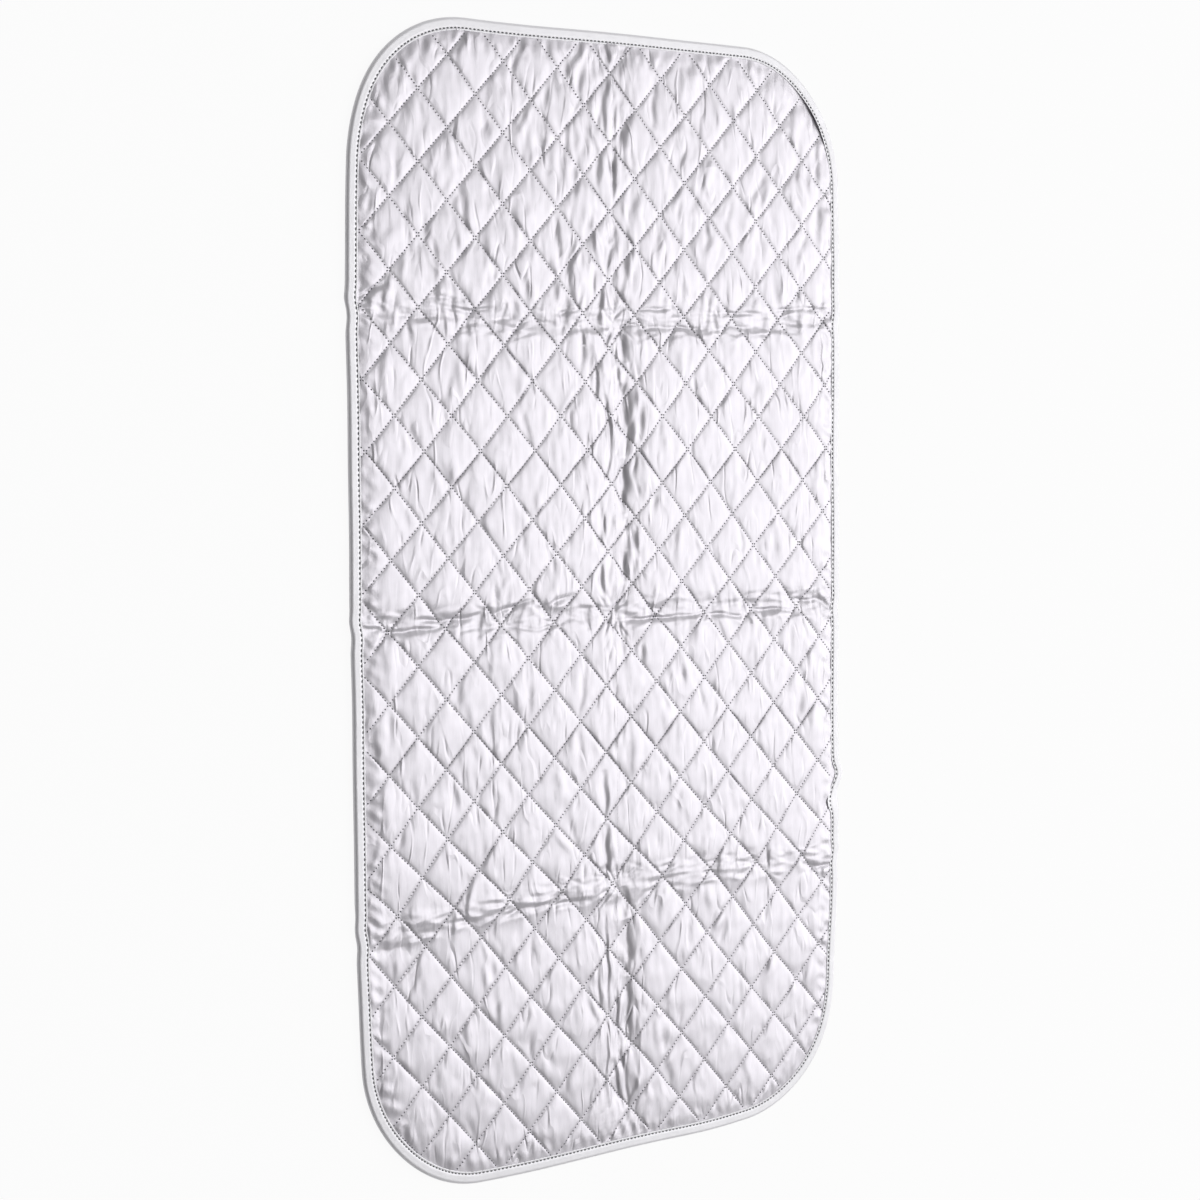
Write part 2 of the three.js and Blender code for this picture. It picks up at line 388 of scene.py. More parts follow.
class StageSettings(bpy.types.PropertyGroup):
    """The camera, the light and the floor."""
    camera_place: FloatVectorProperty(
        name="Camera place", description="Where the camera stands", default=(-1.2333, 0.1675, 1.4537),
        size=3, subtype="XYZ")
    camera_turn: FloatVectorProperty(
        name="Camera turn", description="The camera's rotation",
        default=[math.radians(angle) for angle in (-4.6334, -40.0629, -0.5498)], size=3, subtype="EULER")
    lens: plain_number("Lens", "Focal length in millimetres", 75.74)
    key_place: FloatVectorProperty(
        name="Key light place", description="Where the large soft light stands",
        default=(3.83, -0.15, 3.21), size=3, subtype="XYZ")
    key_width: metres("Key light width", "Width of the large soft light", 4.0)
    key_height: metres("Key light height", "Height of the large soft light", 6.2)
    key_power: FloatProperty(
        name="Key light power", description="Power of the large soft light", default=152.0, unit="POWER")
    key_roll: FloatProperty(
        name="Key light roll", description="How far the large soft light is turned about its own axis",
        default=math.radians(8), subtype="ANGLE")
    bright_side: FloatVectorProperty(
        name="Bright side", description="Direction of the room's brightest part", default=(0.74, 0.3, -0.6),
        size=3, subtype="DIRECTION")
    bright_light: plain_number("Bright light", "Strength of the light from the bright side", 1.0)
    dim_light: plain_number("Dim light", "Strength of the light from the dim side", 0.1)
    floor_drop: metres("Floor drop", "How far the floor lies under the pad", 0.0005)
    floor_white: plain_number("Floor white", "Share of plain white in the floor that the camera sees", 0.93)


# Plan of the pad

def hill(distance, width):
    """A smooth hill of height 1 whose flanks are about as wide as given."""
    return np.exp(-(distance / width) ** 2)


def uneven_hill(distance, before, after):
    """A hill with one width before its top and another after it."""
    return hill(distance, np.where(distance < 0, before, after))


def edge_stray(x, y):
    """How far the edge strays outwards from its rounded rectangle."""
    return sum(amount * hill(np.hypot(x - at_x, y - at_y), reach)
               for at_x, at_y, amount, reach in EDGE_STRAY)


def edge_depth(sizes, x, y):
    """How far points lie in from the pad's outer edge."""
    past_x = np.abs(x) - (PAD_WIDTH / 2 - sizes.corner_radius)
    past_y = np.abs(y) - (PAD_LENGTH / 2 - sizes.corner_radius)
    corner = np.hypot(np.maximum(past_x, 0), np.maximum(past_y, 0))
    return sizes.corner_radius - corner - np.minimum(np.maximum(past_x, past_y), 0) + edge_stray(x, y)


def outward(sizes, plan):
    """Unit vectors that point straight out of the pad from points near its edge."""
    past = np.maximum(np.abs(plan) - (np.array([PAD_WIDTH, PAD_LENGTH]) / 2 - sizes.corner_radius), 0)
    return np.sign(plan) * past / np.linalg.norm(past, axis=1, keepdims=True)


def lattice(quilt):
    """One crossing of the seams, and a diamond's two sides as the columns of a matrix."""
    cosine, sine = math.cos(quilt.turn), math.sin(quilt.turn)
    half_width, half_length = quilt.diamond_width / 2, quilt.diamond_length / 2
    sides = np.array([[half_width, -half_width], [half_length, half_length]])
    return np.array(quilt.crossing), np.array([[cosine, -sine], [sine, cosine]]) @ sides


def seam_shift(plan):
    """How far the seams have shifted sideways at points of the plan."""
    shift = np.zeros(plan.shape)
    shift[:, 0] = SEAM_SHIFT_ELSEWHERE
    for at, amount, reach in SEAM_SHIFT:
        shift[:, 0] += amount * hill(plan[:, 1] - at, reach)
    return shift


def plan_place(quilt, place):
    """Points of the plan that are given in diamond sides from the crossing."""
    crossing, sides = lattice(quilt)
    plan = crossing + place @ sides.T
    return plan + seam_shift(plan)


def lattice_place(quilt, plan):
    """Points of the plan counted in diamond sides from the crossing."""
    crossing, sides = lattice(quilt)
    return np.linalg.solve(sides, (plan - seam_shift(plan) - crossing).T).T


def diamond_rise(quilt, plan):
    """The rise of a padded diamond, from 0 at its seams to 1 over its middle."""
    place = lattice_place(quilt, plan)
    side = np.linalg.norm(lattice(quilt)[1][:, 0])
    from_seam = np.abs(place - np.round(place)) * side
    steep = quilt.steep_share * np.exp(-from_seam / quilt.groove)
    gentle = (1 - quilt.steep_share) * np.exp(-from_seam / quilt.shoulder)
    return np.prod(1 - steep - gentle, axis=1)


def third_of(y):
    """Which third of a half, counted from the top, points at y lie in."""
    return (y < THIRD_CUTS[0]).astype(int) + (y < THIRD_CUTS[1]).astype(int)


# Creases

def from_crease(fold, x, y):
    """How far points lie above a cross crease, which strays a little from its fold."""
    left, middle, right = CREASE_DRIFT[fold]
    across = x / (PAD_WIDTH / 2)
    drift = middle + across * (right - left) / 2 + across ** 2 * ((left + right) / 2 - middle)
    return y - FOLD_AT[fold] - drift


def centre_strength(y):
    """How hard the lengthwise crease is pressed along the pad: most in the second and fourth rows."""
    return CENTRE_STRENGTH + CENTRE_STRENGTH_CHANGE * np.sin(math.pi * y / FOLD_AT["top_fold"])


def crease_press(x, y):
    """How far the creases press the face down into its wadding."""
    top = from_crease("top_fold", x, y)
    middle = from_crease("middle_fold", x, y)
    bottom = from_crease("bottom_fold", x, y)
    left_share = 0.7 - 0.3 * np.tanh(x / 0.05)
    pressed = TOP_PRESS * hill(top, width=0.006)
    pressed += MIDDLE_PRESS * hill(middle, width=0.008)
    pressed += BOTTOM_PRESS * left_share * uneven_hill(bottom + 0.022, before=0.050, after=0.014)
    pressed += LENGTHWISE_PRESS * centre_strength(y) * uneven_hill(x - 0.006, before=0.016, after=0.012)
    return DEEPEST_PRESS * np.tanh(pressed / DEEPEST_PRESS)


def plane_waves(x, y, rng, count, lengths, heading, fan):
    """Ripples of many lengths that run roughly one way, about 1 high."""
    height = np.zeros(x.shape)
    for _ in range(count):
        length = rng.uniform(*lengths)
        angle = heading + rng.normal(0, fan)
        along = x * math.cos(angle) + y * math.sin(angle)
        height += np.cos(2 * math.pi * along / length + rng.uniform(0, 2 * math.pi))
    return height / math.sqrt(count / 2)


def scattered_wrinkles(x, y, rng, group):
    """Short single wrinkles of one group: ridges and furrows, the strongest about 1 high."""
    height = np.zeros(x.shape)
    for _ in range(group.count):
        from_x = x - group.middle[0] - group.reach[0] * rng.uniform(-1, 1)
        from_y = y - group.middle[1] - group.reach[1] * rng.uniform(-1, 1)
        angle = group.heading + rng.normal(0, group.fan)
        length, width = rng.uniform(*group.lengths), rng.uniform(*group.widths)
        bend = rng.normal(0, 6.0)
        strength = rng.uniform(0.3, 1.0) * rng.choice((-1, 1))
        near = np.nonzero((np.abs(from_x) < 2.5 * length) & (np.abs(from_y) < 2.5 * length))
        along = from_x[near] * math.cos(angle) + from_y[near] * math.sin(angle)
        across = from_x[near] * math.sin(angle) - from_y[near] * math.cos(angle) + bend * along ** 2
        sides = (width, GENTLE_SIDE * width)
        before, after = sides if strength > 0 else reversed(sides)
        height[near] += strength * hill(along, length) * uneven_hill(across, before, after)
    return height


def crease_bands(quilt, x, y):
    """Where the ripples of the cross creases lie, from 0 to 1."""
    return sum(hill(from_crease(fold, x, y), quilt.crease_band) for fold in CREASE_DRIFT)


def centre_band(x, y):
    """Where the small folds of the lengthwise crease lie, from 0 to 1."""
    return centre_strength(y) * uneven_hill(x + 0.003, before=0.016, after=0.018)


def crossing_puckers(x, y, rng):
    """Small folds that radiate from where the lengthwise crease crosses the others, from 0 to 1."""
    puckers = np.zeros(x.shape)
    for fold in CREASE_DRIFT:
        above = from_crease(fold, x, y)
        for angle in rng.uniform(0, 2 * math.pi, PUCKERS_PER_CROSSING):
            along = x * math.cos(angle) + above * math.sin(angle) - rng.uniform(0.008, 0.020)
            across = above * math.cos(angle) - x * math.sin(angle) + rng.normal(0, 0.003)
            width = rng.uniform(0.0010, 0.0017)
            puckers += rng.uniform(0.4, 1.2) * hill(along, rng.uniform(0.005, 0.010)) * hill(across, width)
    return puckers


def crumple(quilt, x, y):
    """How deep the sharp small folds are that the creases leave in the cloth."""
    rng = np.random.default_rng(23)
    folds = np.zeros(x.shape)
    for fold in CREASE_DRIFT:
        above = from_crease(fold, x, y)
        folds += 0.6 * scattered_wrinkles(x, above, rng, CROSS_FOLDS)
    folds += 0.8 * scattered_wrinkles(x, y, rng, LENGTHWISE_FOLDS) * centre_strength(y)
    folds += 0.8 * scattered_wrinkles(x, y, rng, TOP_ROW_FOLDS)
    folds += 0.45 * scattered_wrinkles(x, y, rng, LOWER_FOLDS)
    folds += crossing_puckers(x, y, rng)
    return quilt.fold_depth * folds + pressed_folds(x, y)


def pressed_folds(x, y):
    """How deep the single folds are that the photograph shows: steep on their right or upper side."""
    rng = np.random.default_rng(29)
    depth = np.zeros(x.shape)
    for numbers in PRESSED_FOLDS:
        start_x, start_y, end_x, end_y, width, deep = (0.001 * number for number in numbers)
        run_x, run_y = end_x - start_x, end_y - start_y
        length = math.hypot(run_x, run_y)
        along = ((x - start_x) * run_x + (y - start_y) * run_y) / length ** 2
        across = ((y - start_y) * run_x - (x - start_x) * run_y) / length
        taper = np.clip(4 * along * (1 - along), 0, 1)
        bow = rng.normal(0, 0.03) * length * taper
        wave = 0.3 * width * np.sin(along * length / 0.004 + rng.uniform(0, 6))
        depth += deep * taper ** 0.7 * uneven_hill(across - bow - wave, GENTLE_SIDE * width, width)
    return depth


def seam_height(sizes, x, y):
    """The height of the face along its seams."""
    depth = edge_depth(sizes, x, y)
    rise = np.clip((depth - sizes.binding_width) / sizes.edge_roll, 0, 1)
    level = sizes.rim_level + (sizes.seam_level - sizes.rim_level) * rise ** 2 * (3 - 2 * rise)
    corner_x, corner_y, corner_deep = CORNER_HOLLOW
    hollow = corner_deep * hill(np.hypot(x - corner_x, y - corner_y), width=0.020)
    for at_x, at_y, deep in TAPE_HOLLOWS:
        hollow += deep * uneven_hill(x - at_x, before=0.006, after=0.003) * hill(y - at_y, width=0.014)
    return level - crease_press(x, y) * rise - hollow


def sewn_height(sizes, quilt, x, y):
    """The height of the face along its seams, with the small folds of the creases."""
    inside = edge_depth(sizes, x, y) > sizes.binding_width
    return np.maximum(seam_height(sizes, x, y) - crumple(quilt, x, y) * inside, BACKING_TOP + LEAST_WADDING)


def fold_flatness(y):
    """Where the cross folds keep the underside flat, from 0 to 1, so that the folded halves lie clear."""
    return sum(np.exp(-((y - FOLD_AT[fold]) / FLAT_REACH) ** 4) for fold in CREASE_DRIFT)


def backing_seam_height(sizes, quilt, x, y):
    """The height of the underside along its seams."""
    depth = edge_depth(sizes, x, y)
    rim = sizes.tape_thickness + 2 * CLEARANCE
    rise = np.clip((depth - sizes.binding_width) / sizes.edge_roll, 0, 1)
    return rim + (quilt.backing_relief + CLEARANCE - rim) * rise


# Meshes

def deselect_all():
    for item in bpy.context.selected_objects:
        item.select_set(False)


def points_of(piece):
    points = np.zeros(len(piece.data.vertices) * 3)
    piece.data.vertices.foreach_get("co", points)
    return points.reshape(-1, 3)


def set_points(piece, points):
    piece.data.vertices.foreach_set("co", points.ravel())
    piece.data.update()


def faces_of(piece):
    return [tuple(face.vertices) for face in piece.data.polygons]


def make_active(piece):
    deselect_all()
    piece.select_set(True)
    bpy.context.view_layer.objects.active = piece


def choose_points(piece, chosen):
    """Select some of a piece's points and no others."""
    make_active(piece)
    bpy.ops.object.mode_set(mode="EDIT")
    bpy.ops.mesh.select_mode(type="VERT")
    bpy.ops.mesh.select_all(action="DESELECT")
    bpy.ops.object.mode_set(mode="OBJECT")
    piece.data.vertices.foreach_set("select", chosen)


def new_piece(name, points, faces):
    mesh = bpy.data.meshes.new(name)
    mesh.from_pydata(points, [], faces)
    piece = bpy.data.objects.new(name, mesh)
    bpy.context.scene.collection.objects.link(piece)
    return piece


def divide(piece, chosen, cuts, smoothness=0):
    """Divide a piece's mesh more finely between the chosen points."""
    choose_points(piece, chosen)
    bpy.ops.object.mode_set(mode="EDIT")
    bpy.ops.mesh.subdivide(number_cuts=cuts, smoothness=smoothness)
    bpy.ops.object.mode_set(mode="OBJECT")


def finish_piece(piece, material):
    """Give a piece its material and smooth shading."""
    piece.data.materials.append(material)
    make_active(piece)
    bpy.ops.object.shade_smooth_by_angle(angle=SHARP_ANGLE)


def hang_on_panels(piece, sizes, side, third, layers=()):
    """Hide the solids of the given layers of the two panels that a piece spans, so that the piece shows in
    their place, and bake its transform.
    """
    upper, lower, fold = THIRDS[third]
    if layers:
        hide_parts(*[f"{layer}_{side}_{row}" for layer in layers for row in (upper, lower)])
    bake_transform(piece)


def quilted_sheet(sizes, quilt, cells):
    """A flat sheet whose mesh lines run along the seams, trimmed to a smooth edge under the binding."""
    corners = [[x, y] for x in (-PAD_WIDTH / 2, PAD_WIDTH / 2) for y in (-PAD_LENGTH / 2, PAD_LENGTH / 2)]
    reach = math.ceil(np.abs(lattice_place(quilt, np.array(corners))).max())
    deselect_all()
    bpy.ops.mesh.primitive_grid_add(x_subdivisions=2 * reach * cells, y_subdivisions=2 * reach * cells,
                                    size=2 * reach)
    sheet = bpy.context.object
    points = points_of(sheet)
    place = points[:, :2]
    place = place - quilt.crowding * np.sin(2 * math.pi * place) / (2 * math.pi)
    points[:, :2] = plan_place(quilt, place)
    set_points(sheet, points)
    outside = edge_depth(sizes, points[:, 0], points[:, 1]) < sizes.tuck
    choose_points(sheet, outside)
    bpy.ops.object.mode_set(mode="EDIT")
    bpy.ops.mesh.delete(type="VERT")
    bpy.ops.mesh.select_non_manifold(extend=False, use_wire=False, use_multi_face=False,
                                     use_non_contiguous=False, use_verts=False)
    bpy.ops.object.mode_set(mode="OBJECT")
    border = np.zeros(len(sheet.data.vertices), dtype=bool)
    sheet.data.vertices.foreach_get("select", border)
    points = points_of(sheet)
    plan = points[border, :2]
    depth = edge_depth(sizes, plan[:, 0], plan[:, 1])
    points[border, :2] = plan + outward(sizes, plan) * (depth - sizes.tuck)[:, None]
    set_points(sheet, points)
    return sheet


def half_of(sheet, side, gap):
    """A copy of a sheet that is cut off a little before the lengthwise crease."""
    make_active(sheet)
    bpy.ops.object.duplicate()
    half = bpy.context.object
    way = SIDES[side]
    bpy.ops.object.mode_set(mode="EDIT")
    bpy.ops.mesh.select_all(action="SELECT")
    bpy.ops.mesh.bisect(plane_co=(way * gap, 0, 0), plane_no=(way, 0, 0), clear_inner=True)
    bpy.ops.object.mode_set(mode="OBJECT")
    return half


def thirds_of(half, quilt):
    """The faces of each third of a half, divided along the seams between whole diamonds."""
    points = points_of(half)
    faces = faces_of(half)
    middles = np.array([points[list(face), :2].mean(axis=0) for face in faces])
    diamonds = plan_place(quilt, np.floor(lattice_place(quilt, middles)) + 0.5)
    third = third_of(diamonds[:, 1])
    return [[face for face, k in zip(faces, third) if k == number] for number in range(len(THIRDS))]


def border_edges(faces):
    """The directed edges that only one face has."""
    edges = set()
    for face in faces:
        for edge in zip(face, face[1:] + face[:1]):
            if edge[::-1] in edges:
                edges.remove(edge[::-1])
            else:
                edges.add(edge)
    return sorted(edges)


def closed_layer(name, points, faces, inner, wall):
    """Close a cloth into a layer: its outer faces, a wall round its border and its inner faces.

    inner gives the height of the inner faces, and wall the points down the wall from a border point.
    """
    used = sorted({corner for face in faces for corner in face})
    number = {corner: k for k, corner in enumerate(used)}
    outer = [tuple(number[corner] for corner in face) for face in faces]
    outside = points[used]
    inside = outside.copy()
    inside[:, 2] = inner
    edges = border_edges(outer)
    border = sorted({corner for edge in edges for corner in edge})
    walls = {corner: wall(outside[corner]) for corner in border}
    rings = len(walls[border[0]]) - 1
    for corner in border:
        inside[corner] = walls[corner][-1]
    ring_start = len(used)
    inside_start = ring_start + rings * len(border)
    order = {corner: k for k, corner in enumerate(border)}
    between = [walls[corner][ring] for ring in range(rings) for corner in border]

    def column(corner):
        down = [ring_start + ring * len(border) + order[corner] for ring in range(rings)]
        return [corner, *down, inside_start + corner]

    closed = list(outer)
    for start, end in edges:
        start_column, end_column = column(start), column(end)
        for ring in range(rings + 1):
            closed.append((end_column[ring], start_column[ring],
                           start_column[ring + 1], end_column[ring + 1]))
    closed += [tuple(inside_start + corner for corner in reversed(face)) for face in outer]
    every_point = np.vstack([outside, np.array(between).reshape(-1, 3), inside])
    return new_piece(name, every_point, closed)


# Materials

def new_material(name, colour):
    material = bpy.data.materials.new(name)
    material.use_nodes = True
    material.diffuse_color = (*colour, 1)
    return material, material.node_tree, material.node_tree.nodes["Principled BSDF"]


def add_node(tree, kind, values=None, **options):
    """A node with some of its inputs and options set."""
    node = tree.nodes.new(kind)
    for name, value in options.items():
        setattr(node, name, value)
    for name, value in (values or {}).items():
        node.inputs[name].default_value = value
    return node


def scaled_place(tree, output, scale):
    """The piece's own coordinates, scaled along each axis."""
    place = add_node(tree, "ShaderNodeTexCoord")
    mapping = add_node(tree, "ShaderNodeMapping", {"Scale": scale})
    tree.links.new(place.outputs[output], mapping.inputs["Vector"])
    return mapping.outputs["Vector"]


def noise(tree, place, scale, detail=3.0):
    node = add_node(tree, "ShaderNodeTexNoise", {"Scale": scale, "Detail": detail})
    tree.links.new(place, node.inputs["Vector"])
    return node.outputs["Fac"]


def yarns(tree, place, direction, scale):
    """Rows of round yarns along one direction."""
    node = add_node(tree, "ShaderNodeTexWave", {"Scale": scale, "Distortion": 0.6, "Detail": 1.0},
                    bands_direction=direction)
    tree.links.new(place, node.inputs["Vector"])
    return node.outputs["Fac"]


def combine(tree, operation, first, second):
    node = add_node(tree, "ShaderNodeMath", operation=operation)
    for socket, value in zip(node.inputs, (first, second)):
        if isinstance(value, float):
            socket.default_value = value
        else:
            tree.links.new(value, socket)
    return node.outputs["Value"]


def mix_colours(tree, factor, first, second):
    node = add_node(tree, "ShaderNodeMixRGB", {"Color1": (*first, 1), "Color2": (*second, 1)})
    tree.links.new(factor, node.inputs["Fac"])
    return node.outputs["Color"]


def spread(tree, value, low, high, lowest=0.0):
    """A value that goes up to 1 spread between two others."""
    node = add_node(tree, "ShaderNodeMapRange", {"From Min": lowest, "To Min": low, "To Max": high})
    tree.links.new(value, node.inputs["Value"])
    return node.outputs["Result"]


def dress(tree, shader, colour, roughness, normal):
    """Link a shader's colour, roughness and normal, or set the ones that are plain numbers."""
    for name, value in (("Base Color", colour), ("Roughness", roughness), ("Normal", normal)):
        if isinstance(value, float):
            shader.inputs[name].default_value = value
        else:
            tree.links.new(value, shader.inputs[name])


def bump(tree, height, distance, strength, normal=None):
    node = add_node(tree, "ShaderNodeBump", {"Strength": strength, "Distance": distance})
    tree.links.new(height, node.inputs["Height"])
    if normal is not None:
        tree.links.new(normal, node.inputs["Normal"])
    return node.outputs["Normal"]


def silver_cloth(colours):
    """A thin cotton with a silver coating: a soft sheen, a fine weave, crinkles and sharp creases."""
    material, tree, shader = new_material("silver_cloth", colours.silver)
    place = scaled_place(tree, "Object", (1, 1, 1))
    stretched = scaled_place(tree, "Object", (1, 0.15, 1))
    wavy = scaled_place(tree, "Object", (1, 0.3, 1))
    spots = spread(tree, noise(tree, place, scale=45.0), -0.4, 1.2)
    weave = combine(tree, "MAXIMUM", yarns(tree, place, "X", 350.0), yarns(tree, place, "Y", 350.0))
    crinkled = bump(tree, noise(tree, stretched, scale=260.0), distance=0.0006, strength=0.2)
    lines = combine(tree, "PINGPONG", noise(tree, wavy, scale=70.0, detail=1.0), 0.5)
    sharp_lines = spread(tree, combine(tree, "MULTIPLY", lines, 2.0), 0.0, 1.0, lowest=0.86)
    patches = spread(tree, noise(tree, place, scale=38.0, detail=1.0), -2.6, 2.6)
    folds = combine(tree, "MULTIPLY", sharp_lines, patches)
    creased = bump(tree, folds, distance=0.0007, strength=0.6, normal=crinkled)
    dress(tree, shader,
          colour=mix_colours(tree, spots, colours.silver_shade, colours.silver),
          roughness=spread(tree, noise(tree, place, scale=160.0), 0.34, 0.46),
          normal=bump(tree, weave, distance=0.00006, strength=0.25, normal=creased))
    shader.inputs["Metallic"].default_value = 0.5
    return material


def satin_tape(colours):
    """A smooth white satin with its floats across the tape."""
    material, tree, shader = new_material("satin_tape", colours.tape)
    place = scaled_place(tree, "UV", (1, 1, 1))
    spots = spread(tree, noise(tree, place, scale=120.0), 0.0, 1.0)
    duller = tuple(0.93 * part for part in colours.tape)
    rough = bump(tree, noise(tree, place, scale=300.0), distance=0.0002, strength=0.3)
    floats = yarns(tree, place, "X", 420.0)
    dress(tree, shader,
          colour=mix_colours(tree, spots, duller, colours.tape),
          roughness=spread(tree, noise(tree, place, scale=90.0), 0.36, 0.50),
          normal=bump(tree, floats, distance=0.00005, strength=0.3, normal=rough))
    shader.inputs["Metallic"].default_value = 0.3
    shader.inputs["Sheen Weight"].default_value = 0.15
    return material


def sewing_thread(name, colour):
    """A grey twisted thread, darker in the grooves of its twist: painted shade."""
    material, tree, shader = new_material(name, colour)
    place = scaled_place(tree, "UV", (2, 3, 1))
    node = add_node(tree, "ShaderNodeTexWave", {"Scale": 1.0}, bands_direction="DIAGONAL")
    tree.links.new(place, node.inputs["Vector"])
    twist = node.outputs["Fac"]
    # Painted shade: the low grooves of the twist take a darker grey.
    twist_groove_shade = tuple(0.6 * part for part in colour)
    dress(tree, shader,
          colour=mix_colours(tree, twist, twist_groove_shade, colour),
          roughness=0.55,
          normal=bump(tree, twist, distance=0.0001, strength=0.4))
    return material


def woven_cotton(colours):
    """A plain grey cotton weave with uneven yarns, and painted shade between its yarns."""
    material, tree, shader = new_material("woven_cotton", colours.cotton)
    place = scaled_place(tree, "Object", (1, 1, 1))
    weave = combine(tree, "MULTIPLY", yarns(tree, place, "X", 240.0), yarns(tree, place, "Y", 240.0))
    # Painted shade between the yarns, varied by the uneven yarns
    slubs_and_yarn_gap_shade = combine(tree, "MULTIPLY", weave, spread(tree, noise(tree, place, scale=80.0), 0.35, 1.2))
    dress(tree, shader,
          colour=mix_colours(tree, slubs_and_yarn_gap_shade, colours.cotton, colours.cotton_yarn_gap_shade),
          roughness=spread(tree, noise(tree, place, scale=200.0), 0.82, 0.95),
          normal=bump(tree, weave, distance=0.0002, strength=0.5))
    shader.inputs["Sheen Weight"].default_value = 0.1
    return material


def plain_floor(colours, white_share):
    """A pale floor that the camera sees as nearly white, with the pad's shadow on it."""
    material, tree, shader = new_material("plain_floor", colours.floor)
    shader.inputs["Base Color"].default_value = (*colours.floor, 1)
    shader.inputs["Roughness"].default_value = 0.9
    shader.inputs["Specular IOR Level"].default_value = 0.0
    rays = add_node(tree, "ShaderNodeLightPath")
    seen = combine(tree, "MAXIMUM", rays.outputs["Is Camera Ray"], rays.outputs["Is Glossy Ray"])
    seen = combine(tree, "MAXIMUM", seen, rays.outputs["Is Transmission Ray"])
    white = add_node(tree, "ShaderNodeEmission", {"Color": (1, 1, 1, 1), "Strength": 1.0})
    mixed = add_node(tree, "ShaderNodeMixShader")
    tree.links.new(combine(tree, "MULTIPLY", seen, white_share), mixed.inputs["Fac"])
    tree.links.new(shader.outputs["BSDF"], mixed.inputs[1])
    tree.links.new(white.outputs["Emission"], mixed.inputs[2])
    below = add_node(tree, "ShaderNodeNewGeometry")
    clear = add_node(tree, "ShaderNodeBsdfTransparent")
    floor_side = add_node(tree, "ShaderNodeMixShader")
    tree.links.new(below.outputs["Backfacing"], floor_side.inputs["Fac"])
    tree.links.new(mixed.outputs["Shader"], floor_side.inputs[1])
    tree.links.new(clear.outputs["BSDF"], floor_side.inputs[2])
    tree.links.new(floor_side.outputs["Shader"], tree.nodes["Material Output"].inputs["Surface"])
    return material


# Quilted layers

def sewn_shape(sizes, quilt, plan, held):
    """The face as it is sewn: seams low, diamonds raised, with the first ripples in them."""
    rng = np.random.default_rng(7)
    x, y = plan.T
    height = seam_height(sizes, x, y)
    ripples = quilt.wrinkle * sum(scattered_wrinkles(x, y, rng, group) for group in FACE_WRINKLES)
    ripples += quilt.ripple * plane_waves(x, y, rng, 12, (0.007, 0.015), 0.0, math.radians(8))
    bands = crease_bands(quilt, x, y)
    crosswise = plane_waves(x, y, rng, 10, (0.006, 0.010), math.pi / 2, math.radians(8))
    ripples += quilt.crease_ripple * crosswise * bands
    lumps = plane_waves(x, y, rng, 24, (0.012, 0.032), 0.0, math.radians(70))
    ripples += quilt.unevenness * (1 + bands) * lumps
    from_hem = edge_depth(sizes, x, y) - sizes.binding_width
    swell = np.clip(from_hem / (2 * sizes.edge_roll), 0, 1)
    rise = diamond_rise(quilt, plan) * (quilt.crown * (0.3 + 0.7 * swell) + ripples)
    rise += HEM_PUCKER * hem_puckers(x, y, rng) * hill(from_hem - HEM_PUCKER_REACH, HEM_PUCKER_REACH)
    return np.column_stack([plan, height + np.where(held, 0, rise)])


def hem_puckers(x, y, rng):
    """Small puckers that run in from the hem, about 1 high."""
    across_sides = plane_waves(x, y, rng, 10, HEM_PUCKER_LENGTHS, math.pi / 2, math.radians(15))
    across_ends = plane_waves(x, y, rng, 10, HEM_PUCKER_LENGTHS, 0.0, math.radians(15))
    at_side = np.abs(y) < PAD_LENGTH / 2 - 0.06
    return np.where(at_side, across_sides, across_ends)


def uneven_ease(plan, rng):
    """Sideways moves that leave more spare cloth in some places than in others."""
    moves = np.zeros(len(plan))
    for _ in range(12):
        length = rng.uniform(0.08, 0.20)
        angle = rng.normal(0, math.radians(15))
        wave = 2 * math.pi / length * np.array([math.cos(angle), math.sin(angle)])
        moves += np.sin(plan @ wave + rng.uniform(0, 2 * math.pi)) / wave[0]
    return moves / math.sqrt(6)


def slack_shape(quilt, sewn):
    """The face before it is sewn, wider by the cloth that its wrinkles take up."""
    slack = sewn.copy()
    x, y = sewn[:, 0], sewn[:, 1]
    slack[:, 0] += quilt.ease_across * x
    slack[:, 0] += quilt.ease_spread * uneven_ease(sewn[:, :2], np.random.default_rng(3))
    spare = CREASE_EASE * CENTRE_EASE_REACH * np.tanh((x + 0.003) / CENTRE_EASE_REACH)
    slack[:, 0] += spare * centre_strength(y)
    slack[:, 1] += quilt.ease_along * y
    for fold in CREASE_DRIFT:
        above = from_crease(fold, x, y)
        slack[:, 1] += CREASE_EASE * quilt.crease_band * np.tanh(above / quilt.crease_band)
    return slack


